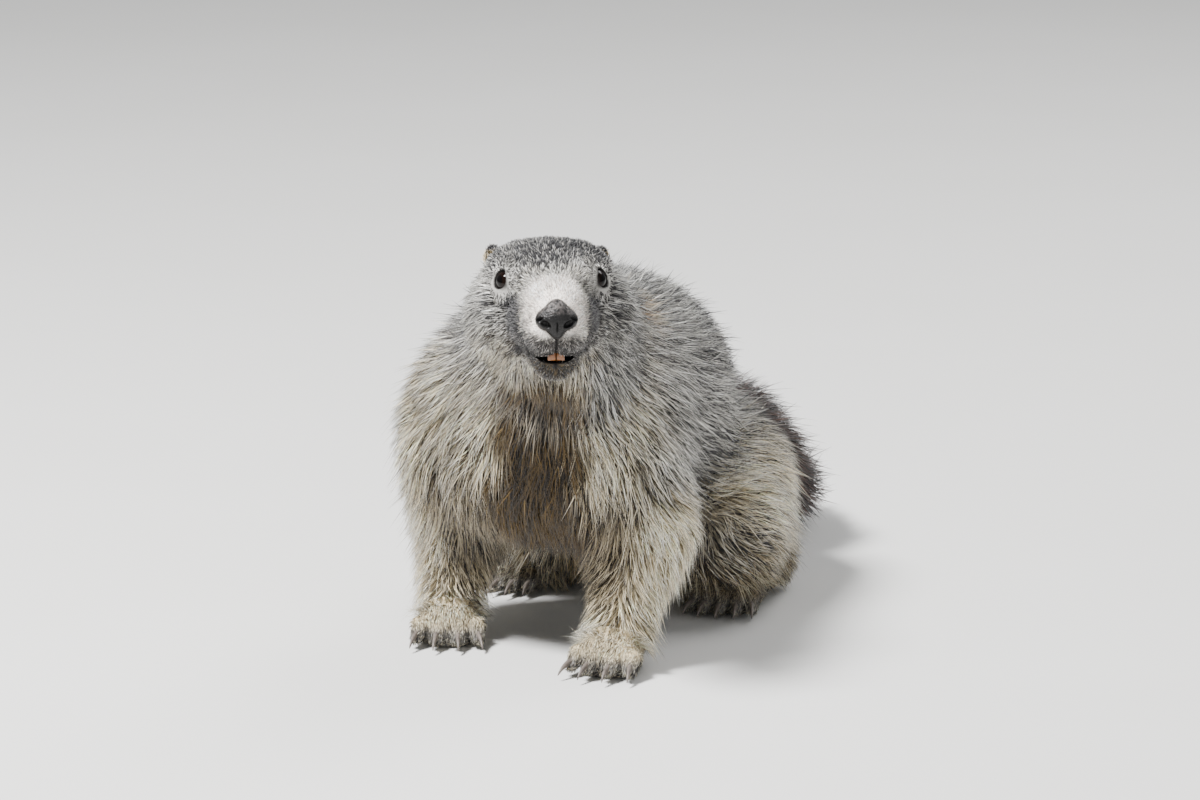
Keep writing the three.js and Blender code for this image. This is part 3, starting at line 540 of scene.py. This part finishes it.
# Nose pad, bare skin, moist: pebbled in grains of about a millimetre, greyer where it is dry on top
noseSkin, tree, shader = newMaterial("moistNoseSkin", **{"Specular IOR Level": 0.32})
marks = addNode(tree, "ShaderNodeVertexColor", layer_name="marks")
grains, wet = addPattern(tree, "Voronoi", 0.8), addPattern(tree, "Noise", 6, Detail=2.0)
gloss = addNode(tree, "ShaderNodeMapRange", [(wet.outputs["Fac"], "Value")], **{"To Min": 0.3, "To Max": 0.6})
tree.links.new(marks.outputs["Color"], shader.inputs["Base Color"])
tree.links.new(gloss.outputs["Result"], shader.inputs["Roughness"])
addBump(tree, shader, grains.outputs["Distance"], 0.7, 0.0004)

# Enamel of the incisors, grown: glossy orange, stained darker in blotches of about a millimetre, and painted
# darker overall as shade under the lip
enamel, tree, shader = newMaterial("incisorEnamel", **{"Roughness": 0.28, "Coat Weight": 0.3})
colourRamp(tree, shader, addPattern(tree, "Noise", 1.5, Detail=3.0), "#4a240a", "#8f561c")

# Horn of the claws, grown in layers: dark grey, mottled paler where it wears thin
horn, tree, shader = newMaterial("clawHorn", **{"Roughness": 0.4})
colourRamp(tree, shader, addPattern(tree, "Noise", 2.2, Detail=4.0), "#2f2a28", "#8a8078")

# Studio floor, painted board: matt and pale, with a very faint mottle
paintedBoard, tree, shader = newMaterial("paintedFloorBoard",
                                         **{"Roughness": 0.85, "Specular IOR Level": 0.2})
colourRamp(tree, shader, addPattern(tree, "Noise", 180, Detail=2.0), "#d9d8d5", "#dedddb")


# How far a point is on the head's side of the slanting plane behind it
neckPlane = {"slant": 0.656, "behind": 46}


def headSide(points):
    q = toHead(points)
    return q[:, 0] + neckPlane["slant"] * q[:, 2] + neckPlane["behind"]


# The skin, one piece in three lengths: fine at the head and paws, coarser under the long coat. They overlap a
# little, hidden by the coat, and each keeps roots for tufts only in its own share
skinLengths = {
    "head": {"cell": 0.85, "low": (-64, -52, -62), "high": (52, 52, 28), "origin": eyePoint, "axes": headAxes,
             "keep": lambda p: headSide(p) > -2, "own": lambda p: headSide(p) > 0},
    "paws": {"cell": 1.15, "low": (-96, -190, -3), "high": (96, 110, 27),
             "keep": lambda p: p[:, 2] < 24, "own": lambda p: p[:, 2] < 22},
    "body": {"cell": 2.4, "low": (-96, -170, 12), "high": (96, 258, 214),
             "keep": lambda p: (headSide(p) < 2) & (p[:, 2] > 20),
             "own": lambda p: (headSide(p) < 0) & (p[:, 2] > 22)},
}
flesh = ["head", "ear_left", "ear_right", "neck", "torso", "tail", "foreleg_left", "foreleg_right",
         "hindleg_left", "hindleg_right", "forepaw_left", "forepaw_right", "hindfoot_left", "hindfoot_right"]
allPoints, allSquares, spots, spotArea = [], [], [], []
for name, length in skinLengths.items():
    settings = {key: value for key, value in length.items() if key not in ("keep", "own")}
    points, squares = kept(*meshOf(skinAt, **settings), length["keep"])
    places = np.concatenate([points, points[squares].mean(1)])
    places += rng.uniform(-0.4, 0.4, places.shape) * length["cell"]
    places = places[length["own"](places)]
    spots.append(places)
    spotArea.append(np.full(len(places), length["cell"] ** 2 / 2))
    allSquares.append(squares + sum(len(p) for p in allPoints))
    allPoints.append(points)
    print("skin of the", name, len(points), "points")
skinPoints = np.concatenate(allPoints)
skin = addPiece("skin", skinPoints, np.concatenate(allSquares), 4, furredHide, flesh)
dark, root, band, tip = markingsAndShade(skinPoints)
skinTone = root * 0.45 + band * 0.55
q = toHead(skinPoints)
# Painted shade: the skin inside the mouth, in the groove under the nose, under the nose pad and in the ear
# cups is painted near black, in the colour of the eye rims
mouthShade = smooth(1.2, 0.4, oval(q, *face["mouth"])) * smooth(4, 12, q[:, 0])
creaseShade = smooth(1.3, 0.6, np.abs(q[:, 1])) * smooth(38, 41, q[:, 0]) * smooth(-16, -18, q[:, 2])
underPadShade = smooth(0.5, 0.1, noseAt(skinPoints))
rim, earCupShade = np.zeros((2, len(q)))
for s in sides.values():
    rim = np.maximum(rim, smooth(8.3, 7.5, np.linalg.norm(q - eyePlace[s], axis=1)))
    earCupShade = np.maximum(earCupShade, 0.8 * smooth(1.0, 0.4, earCup(q, s)))
for share in (mouthShade, creaseShade, underPadShade, rim, earCupShade):
    skinTone += (hair["rim"] - skinTone) * share[:, None]
paint(skin, skinTone)

# The coat: tapered tufts of three corners in section, rooted in the skin. Long ones bend along the lie over
# the curve of the body and draw together in pointed clumps; short ones lie close. Lengths and rises of the
# long ones are shares of the coat's depth; short ones rise by degrees
longTufts = {"stations": (0, 0.42, 1), "rises": (-0.05, 0.6, 1.08), "widths": (0.8, 1, 0),
             "pulls": (0, 0.15, 0.62), "length": 1.5, "clump": 5, "twist": 0.3, "swirl": 0.5, "strays": 0.07}
shortTufts = {"sunk": 0.3, "widths": (0.9, 0.9, 0), "rises": (24, 9), "length": (1.5, 0.95), "twist": 0.2}
mostTriangles, tuftPatch = 190000, 0.003


def placed(centre, across, normal, half):
    return np.stack([centre - across * half, centre + normal * half * 0.75, centre + across * half], 1)


def lieOn(lie, normal, twist):
    along = unit(lie - (lie * normal).sum(1)[:, None] * normal)
    return along * np.cos(twist)[:, None] + np.cross(along, normal) * np.sin(twist)[:, None]


def longLines(roots, depth, twist, lift, stretch):
    length = depth * longTufts["length"] * stretch
    spot, lines, frames = roots.copy(), [], []
    for i, share in enumerate(longTufts["stations"]):
        _, slope = slopeOf(lambda p: coatAt(p, False)[0], spot)
        normal = unit(slope)
        along = lieOn(coatAt(spot)[2], normal, twist)
        if i:
            spot = spot + along * ((share - longTufts["stations"][i - 1]) * length)[:, None]
        spot = spot + normal * (depth * longTufts["rises"][i] * lift - coatAt(spot, False)[0])[:, None]
        lines.append(spot)
        frames.append((np.cross(along, normal), normal))
    return np.stack(lines, 1), frames


def longShape(roots):
    n = len(roots)
    twist = rng.normal(0, longTufts["twist"], n) + longTufts["swirl"] * noiseAt(roots, 18, 1)
    return twist, rng.uniform(0.78, 1.14, n), rng.uniform(0.75, 1.2, n)


def growLong(roots, depth, width):
    n = len(roots)
    cells = np.unique(np.floor(roots / longTufts["clump"]).astype(int), axis=0, return_index=True)[1]
    stray = rng.uniform(0, 1, n) < longTufts["strays"]
    twist, lift, stretch = longShape(roots)
    lift, stretch = np.where(stray, 1.3, 1) * lift, np.where(stray, 1.15, 1) * stretch
    lines, frames = longLines(roots, depth, twist, lift, stretch)
    seeds, _ = longLines(roots[cells], depth[cells], *longShape(roots[cells]))
    tree = KDTree(len(cells))
    for i, point in enumerate(roots[cells]):
        tree.insert(point, i)
    tree.balance()
    nearest = np.array([tree.find(p)[1] for p in roots])
    pull = np.array(longTufts["pulls"])[None, :, None] * (rng.uniform(0.5, 1.2, n) * ~stray)[:, None, None]
    lines = lines + (seeds[nearest] - lines) * pull
    rings = [placed(lines[:, i], *frames[i], (share * width / 2)[:, None])
             for i, share in enumerate(longTufts["widths"][:-1])]
    return np.concatenate([*rings, lines[:, -1:]], 1)


def growShort(roots, depth, width, lies, normals, share):
    n = len(roots)
    twist = rng.normal(0, shortTufts["twist"], n) + 0.3 * noiseAt(roots, 9, 2)
    least, more = shortTufts["length"]
    length = (least + more * depth) * share * rng.uniform(0.75, 1.2, n)
    along = lieOn(lies, normals, twist)
    across = np.cross(along, normals)
    spot = roots - normals * shortTufts["sunk"]
    rings = [placed(spot, across, normals, (shortTufts["widths"][0] * width / 2)[:, None])]
    for i, angle in enumerate(shortTufts["rises"]):
        tilt = np.radians(angle * rng.uniform(0.6, 1.3, n))[:, None]
        spot = spot + (along * np.cos(tilt) + normals * np.sin(tilt)) * (length / 2)[:, None]
        half = (shortTufts["widths"][i + 1] * width / 2)[:, None]
        rings.append(spot[:, None] if i else placed(spot, across, normals, half))
    return np.concatenate(rings, 1)


def tuftFaces(rings):
    faces = [(2, 1, 0)]
    for r in range(rings - 1):
        for j in range(3):
            a, b = r * 3 + j, r * 3 + (j + 1) % 3
            faces += [(a, b, b + 3), (a, b + 3, a + 3)]
    base = rings * 3 - 3
    return np.array(faces + [(base + j, base + (j + 1) % 3, base + 3) for j in range(3)], np.int32)


# Where a root is on its zone of skin, unrolled as a globe is
def unrolled(points):
    low, high = points.min(0), points.max(0)
    way = unit((points - (low + high) / 2) / ((high - low) / 2))
    return np.stack([np.arctan2(way[:, 0], way[:, 2]) / (2 * np.pi) + 0.5, np.arccos(way[:, 1]) / np.pi], 1)


def addCoat(name, points, roots):
    n, k = points.shape[:2]
    points[:, :, 2] = np.maximum(points[:, :, 2], floorGap)
    pattern = tuftFaces((k - 1) // 3)
    dark, root, band, tip = markingsAndShade(roots)
    isDark = (rng.uniform(0, 1, n) + 0.35 * noiseAt(roots, 22, 5) < dark)[:, None]
    darkTipped = (rng.uniform(0, 1, n) < 0.5 * dark)[:, None]
    patches = (1 + 0.25 * noiseAt(roots, 30, 6)) * (1 + 0.4 * noiseAt(roots, 8, 9))
    bright = (rng.uniform(0.36, 1.3, n) * patches)[:, None]
    shade = hair["black"] * 0.6 + root * 0.4
    band, tip = np.where(isDark, shade, band), np.where(isDark | darkTipped, shade * 1.3, tip)
    colours = np.stack([root, band, tip], 1) * bright[:, None]
    stations = len(colours[0])
    ring = np.repeat(np.arange(stations), [3] * (stations - 1) + [1])
    corner = np.zeros((k, 2))
    corner[:-1, 0] = np.tile((-0.4, 0, 0.4), stations - 1)
    corner[:, 1] = ring / (stations - 1) - 0.5
    uv = 0.004 + 0.992 * unrolled(roots)
    order = rng.permutation(n)
    parts = int(math.ceil(n * len(pattern) / mostTriangles))
    for part in range(parts):
        pick = order[part::parts]
        corners = (pattern[None] + (np.arange(len(pick)) * k)[:, None, None]).reshape(-1)
        piece = addPiece(f"coat_{name}_{part + 1}", points[pick].reshape(-1, 3), corners, 3, guardHair)
        paint(piece, colours[pick][:, ring].reshape(-1, 3))
        layer = piece.data.uv_layers.new(name="OFBake")
        flat = (uv[pick][:, None] + corner * tuftPatch).reshape(-1, 2)
        layer.data.foreach_set("uv", flat[corners].astype(np.float32).ravel())
    print("coat of the", name, n, "tufts", n * len(pattern), "triangles in", parts, "pieces")


# Roots: places on the skin, thinned to each zone's spacing and kept clear of the eyes, nose and mouth. On the
# body all the places are used, one in 1.7 mm
spacing = {"face": 0.76, "crown": 0.86, "cheek": 0.95, "body": 1.6, "under": 2.2, "paw": 1.0}
widths = {"long": 0.59, "middling": 0.5, "short": 0.38}
nearEar = {"gap": 1.2, "reach": 12, "below": 6}
nearEye = {"clear": 9, "clearBehind": 7, "facing": 0.66, "turned": (17, 9), "short": (15, 8),
           "shorterBy": 0.55}
spots, spotArea = np.concatenate(spots), np.concatenate(spotArea)
_, depth, lie = coatAt(spots)
_, slope = slopeOf(skinAt, spots)
normal = unit(slope)
q = toHead(spots)
forward, left, up = q.T
inHead = headSide(spots) > 0
allowed = spots[:, 2] > 1.2
shorter = np.ones(len(spots))
for s in sides.values():
    fromEar = q - ear["place"][s]
    onEar = inHead & (np.abs(earDistance(q, s)) < nearEar["gap"]) & (fromEar[:, 2] > -nearEar["below"])
    onEar &= np.linalg.norm(fromEar, axis=1) < nearEar["reach"]
    lie[onEar] = headWay(unit(fromEar + (1, s * -2, 6)))[onEar]
    depth[onEar] = depths["ear"]
    fromEye = q - eyePlace[s]
    distance = np.linalg.norm(fromEye, axis=1)
    facing = (fromEye @ eyeWay[s]) / np.maximum(distance, 1e-6)
    behind = (distance > nearEye["clearBehind"]) & (facing < nearEye["facing"])
    allowed &= (distance > nearEye["clear"]) | behind
    lie += (headWay(unit(fromEye)) * 1.2 - lie) * smooth(*nearEye["turned"], distance)[:, None]
    shorter *= 1 - nearEye["shorterBy"] * smooth(*nearEye["short"], distance)
noseGap = noseAt(spots)
mouthGap = oval(q, *face["mouth"])
shorter *= 1 - 0.6 * smooth(7, 1, noseGap)
shorter *= 1 - 0.5 * smooth(5, 1, mouthGap) * smooth(0, 8, forward)
allowed &= (noseGap > 0.1) | ~inHead
allowed &= (mouthGap > 0.3) | (forward < 4) | ~inHead
allowed &= (np.abs(left) > 0.8) | (forward < 38) | (up > -16) | ~inHead
headSpacing = np.where(depth > 7, spacing["cheek"], np.where(depth > 4, spacing["crown"], spacing["face"]))
bodySpacing = np.where((normal[:, 2] < -0.55) & (depth > 6), spacing["under"], spacing["body"])
wanted = np.where(inHead, headSpacing, np.where(spots[:, 2] < 24, spacing["paw"], bodySpacing))
allowed &= rng.uniform(0, 1, len(spots)) < spotArea / wanted ** 2
roots, depth, lie, normal = spots[allowed], depth[allowed], lie[allowed], normal[allowed]
inHead, shorter = inHead[allowed], shorter[allowed]
x, y, z = roots.T
isTail = (y > 118) & ~inHead
isLeg = (z < 58) & ~isTail & ~inHead & (np.abs(x) > 22)
isLong = depth > 6
coatZones = {
    "head": inHead, "tail": isTail,
    "foreRight": isLeg & (x < 0) & (y < -30), "foreLeft": isLeg & (x > 0) & (y < -30),
    "hindRight": isLeg & (x < 0) & (y >= -30), "hindLeft": isLeg & (x > 0) & (y >= -30),
}
coatZones["body"] = ~np.any(list(coatZones.values()), 0)
for name, zone in coatZones.items():
    pick = zone & isLong
    width = np.where(depth[pick] > 12, widths["long"], widths["middling"]) * rng.uniform(0.7, 1.3, pick.sum())
    addCoat(name + "Long", growLong(roots[pick], depth[pick], width), roots[pick])
    pick = zone & ~isLong
    if pick.sum() > 50:
        width = widths["short"] * rng.uniform(0.75, 1.3, pick.sum())
        tufts = growShort(roots[pick], depth[pick], width, lie[pick], normal[pick], shorter[pick])
        addCoat(name + "Short", tufts, roots[pick])


# Eyes: a full ball set in each socket, its iris and pupil turned the way that the eye looks
def globe(around=40, rows=26):
    u = np.linspace(0, 2 * np.pi, around, endpoint=False)
    v = np.linspace(0, np.pi, rows + 1)[1:-1]
    ring = [(math.sin(b) * math.cos(a), math.sin(b) * math.sin(a), math.cos(b)) for b in v for a in u]
    points = np.array([(0, 0, 1), *ring, (0, 0, -1)])
    corners, sizes = [], []
    for j in range(around):
        k = (j + 1) % around
        last = 1 + (rows - 2) * around
        corners += [0, 1 + j, 1 + k, last + j, len(points) - 1, last + k]
        sizes += [3, 3]
        for a in range(1, last, around):
            corners += [a + j, a + around + j, a + around + k, a + k]
            sizes.append(4)
    return points, corners, sizes


for name, s in sides.items():
    ways, corners, sizes = globe()
    points = onHead(ways * head["eyeRadius"] @ eyeAxes[s].T + eyePlace[s])
    eye = addPiece("eye_" + name + "_ball", points, corners, sizes, cornea, ["eye_" + name])
    turned = np.degrees(np.arccos(np.clip(ways[:, 2], -1, 1)))
    tone = np.tile(toLinear("#060404"), (len(points), 1))
    iris = smooth(24, 30, turned) * smooth(48, 38, turned)
    tone += (np.array(toLinear("#140b07")) - tone) * iris[:, None]
    paint(eye, tone)

points, squares = meshOf(noseAt, nose["cell"], (34, -14, -29), (58, 14, 2), origin=eyePoint, axes=headAxes)
q = toHead(points)
pad = addPiece("nosePad", points, squares, 4, noseSkin, ["nose"])
moist, dusty = (np.array(toLinear(tone)) for tone in ("#070606", "#534e4c"))
dry = np.clip(0.6 + 1.6 * noiseAt(points, 1.4, 8), 0, 1.3)
dry *= smooth(-10.5, -4, q[:, 2] + 0.15 * np.abs(q[:, 1]))
paint(pad, moist + (dusty - moist) * dry[:, None])
print("nose", len(points), "points")


# Tube along a line, its ends closed: for claws, whiskers and teeth
def tube(line, radii, around, over=(0, 0, 1), flat=1.0, power=1.0):
    line = np.asarray(line, float)
    ways = unit(np.gradient(line, axis=0))
    across = unit(np.cross(ways, np.broadcast_to(over, ways.shape)))
    top = np.cross(across, ways)
    angles = np.linspace(0, 2 * np.pi, around, endpoint=False)
    c, s = (np.sign(f(angles)) * np.abs(f(angles)) ** power for f in (np.cos, np.sin))
    radii = np.asarray(radii, float)[:, None, None]
    section = across[:, None] * c[None, :, None] * flat + top[:, None] * s[None, :, None]
    points = line[:, None] + radii * section
    rings, last = len(line), (len(line) - 1) * around
    points = np.concatenate([points.reshape(-1, 3), line[:1], line[-1:]])
    corners, sizes = [], []
    for j in range(around):
        k = (j + 1) % around
        for i in range(rings - 1):
            a = i * around
            corners += [a + k, a + j, a + around + j, a + around + k]
            sizes.append(4)
        corners += [rings * around, j, k, last + k, last + j, rings * around + 1]
        sizes += [3, 3]
    return points, np.array(corners), sizes


def joined(tubes):
    points, corners, sizes, start = [], [], [], 0
    for p, c, z in tubes:
        points.append(p)
        corners.append(c + start)
        sizes += z
        start += len(p)
    return np.concatenate(points), np.concatenate(corners), sizes


def bent(controls, steps):
    t = np.linspace(0, 1, steps)[:, None]
    a, b, c = np.asarray(controls, float)
    return a * (1 - t) ** 2 + 2 * b * t * (1 - t) + c * t ** 2


# Incisors: flat chisels curved down out of the upper jaw, thinned to an edge over their last steps
incisor = {"width": 4.1, "gap": 0.3, "line": [(34, 0, -21.5), (39.6, 0, -26), (41, 0, -34)], "thick": 1.9,
           "edge": (0.86, 0.62, 0.35), "steps": 14, "around": 20}
for name, s in sides.items():
    steps, around = incisor["steps"], incisor["around"]
    line = bent(incisor["line"], steps)
    radii = incisor["thick"] * np.array([1] * (steps - len(incisor["edge"])) + [*incisor["edge"]])
    points, corners, sizes = tube(line, np.ones(steps), around, over=(1, 0, 0), power=0.62)
    off = points - np.concatenate([np.repeat(line, around, axis=0), line[:1], line[-1:]])
    middle = points - off
    thin = np.concatenate([np.repeat(radii, around), [0, 0]])
    points = middle + off * np.stack([thin, np.full(len(off), incisor["width"] / 2), thin], 1)
    points[:, 1] += s * (incisor["width"] + incisor["gap"]) / 2
    node = "incisor_" + name
    addPiece(node + "_enamel", onHead(points), corners, sizes, enamel, [node])

# Claws: curved horn, narrow, tapered to a blunt point just off the floor
clawForm = {"along": (-0.25, 0.55, 1), "rises": (0.35, 0.55, -0.6), "root": 2.1, "tip": 0.25, "taper": 0.75,
            "flat": 0.72, "lowest": 0.75, "floorGap": 0.3}
lines = []
for claw in claws:
    line = [claw["start"] + claw["way"] * share * claw["length"] for share in clawForm["along"]]
    for point, rise in zip(line, clawForm["rises"]):
        point[2] = max(claw["start"][2] + rise * claw["toeRadius"], clawForm["lowest"])
    radii = clawForm["root"] * (1 - np.linspace(0, 1, 10)) ** clawForm["taper"] + clawForm["tip"]
    lines.append(tube(bent(line, 10), radii, 12, flat=clawForm["flat"]))
points, corners, sizes = joined(lines)
points[:, 2] = np.maximum(points[:, 2], clawForm["floorGap"])
addPiece("claws", points, corners, sizes, horn)
print("claws", len(lines))

# Whiskers: stiff hairs from the lip pads, swept back. Keratin, grown: nearly black, with a faint shine
whisker = {"each": 9, "length": (24, 46), "radius": 0.14}
whiskerHair, tree, shader = newMaterial("whiskerKeratin", **{
    "Base Color": (*toLinear("#1d1917"), 1), "Roughness": 0.4})
lines = []
for s in sides.values():
    for i in range(whisker["each"]):
        start = np.array([38 - 3.0 * (i % 3), s * (11.5 + 0.5 * (i % 3)), -20 - 2.6 * (i // 3)])
        size = rng.uniform(*whisker["length"])
        way = unit(np.array([rng.uniform(-0.1, 0.35), s, rng.uniform(-0.5, 0.1)]))
        end = start + (way + (-0.5, 0, -0.2)) * size
        line = bent([start, start + way * size * 0.5, end], 8)
        lines.append(tube(onHead(line), whisker["radius"] * np.linspace(1, 0.25, 8), 4))
points, corners, sizes = joined(lines)
addPiece("whiskers", points, corners, sizes, whiskerHair)

floor = bpy.data.objects.new("studioFloor", bpy.data.meshes.new("studioFloor"))
floor.data.from_pydata([(-8, -8, 0), (8, -8, 0), (8, 8, 0), (-8, 8, 0)], [], [(0, 1, 2, 3)])
floor.data.materials.append(paintedBoard)
bpy.context.scene.collection.objects.link(floor)

# Camera at the photo's angle
view = {"azimuth": 24, "elevation": 12, "distance": 3, "target": (0, 0, 0.13), "focal": 5550,
        "seenAt": (613, 371), "image": (1200, 800), "sensor": 36}
a, e = math.radians(view["azimuth"]), math.radians(view["elevation"])
back = Vector((math.sin(a) * math.cos(e), -math.cos(a) * math.cos(e), math.sin(e)))
camera = bpy.data.objects.new("camera", bpy.data.cameras.new("camera"))
wide, tall = view["image"]
camera.data.sensor_width = view["sensor"]
camera.data.lens = view["focal"] * view["sensor"] / wide
camera.data.shift_x = -(view["seenAt"][0] - wide / 2) / wide
camera.data.shift_y = (view["seenAt"][1] - tall / 2) / wide
camera.location = Vector(view["target"]) + Vector(shift) + back * view["distance"]
camera.rotation_mode = "QUATERNION"
camera.rotation_quaternion = (-back).to_track_quat("-Z", "Y")
bpy.context.scene.collection.objects.link(camera)
bpy.context.scene.camera = camera

# Soft studio light: the main one high on the image's left, a weak one low on its right, one behind
lights = {
    "main": {"place": (-0.75, -1.15, 2.2), "size": 0.55, "power": 212},
    "side": {"place": (1.9, -1.2, 0.9), "size": 2.0, "power": 14},
    "behind": {"place": (0.6, 1.5, 1.9), "size": 1.2, "power": 34},
}
for name, light in lights.items():
    lamp = bpy.data.objects.new(name, bpy.data.lights.new(name, "AREA"))
    lamp.data.size = light["size"]
    lamp.data.energy = light["power"]
    lamp.location = light["place"]
    lamp.rotation_mode = "QUATERNION"
    lamp.rotation_quaternion = (Vector(light["place"]) - Vector((0, 0, 0.1))).to_track_quat("Z", "Y")
    bpy.context.scene.collection.objects.link(lamp)
world = bpy.data.worlds.new("studio")
bpy.context.scene.world = world
world.use_nodes = True
world.node_tree.nodes["Background"].inputs["Color"].default_value = (*toLinear("#eef2f6"), 1)
world.node_tree.nodes["Background"].inputs["Strength"].default_value = 0.3
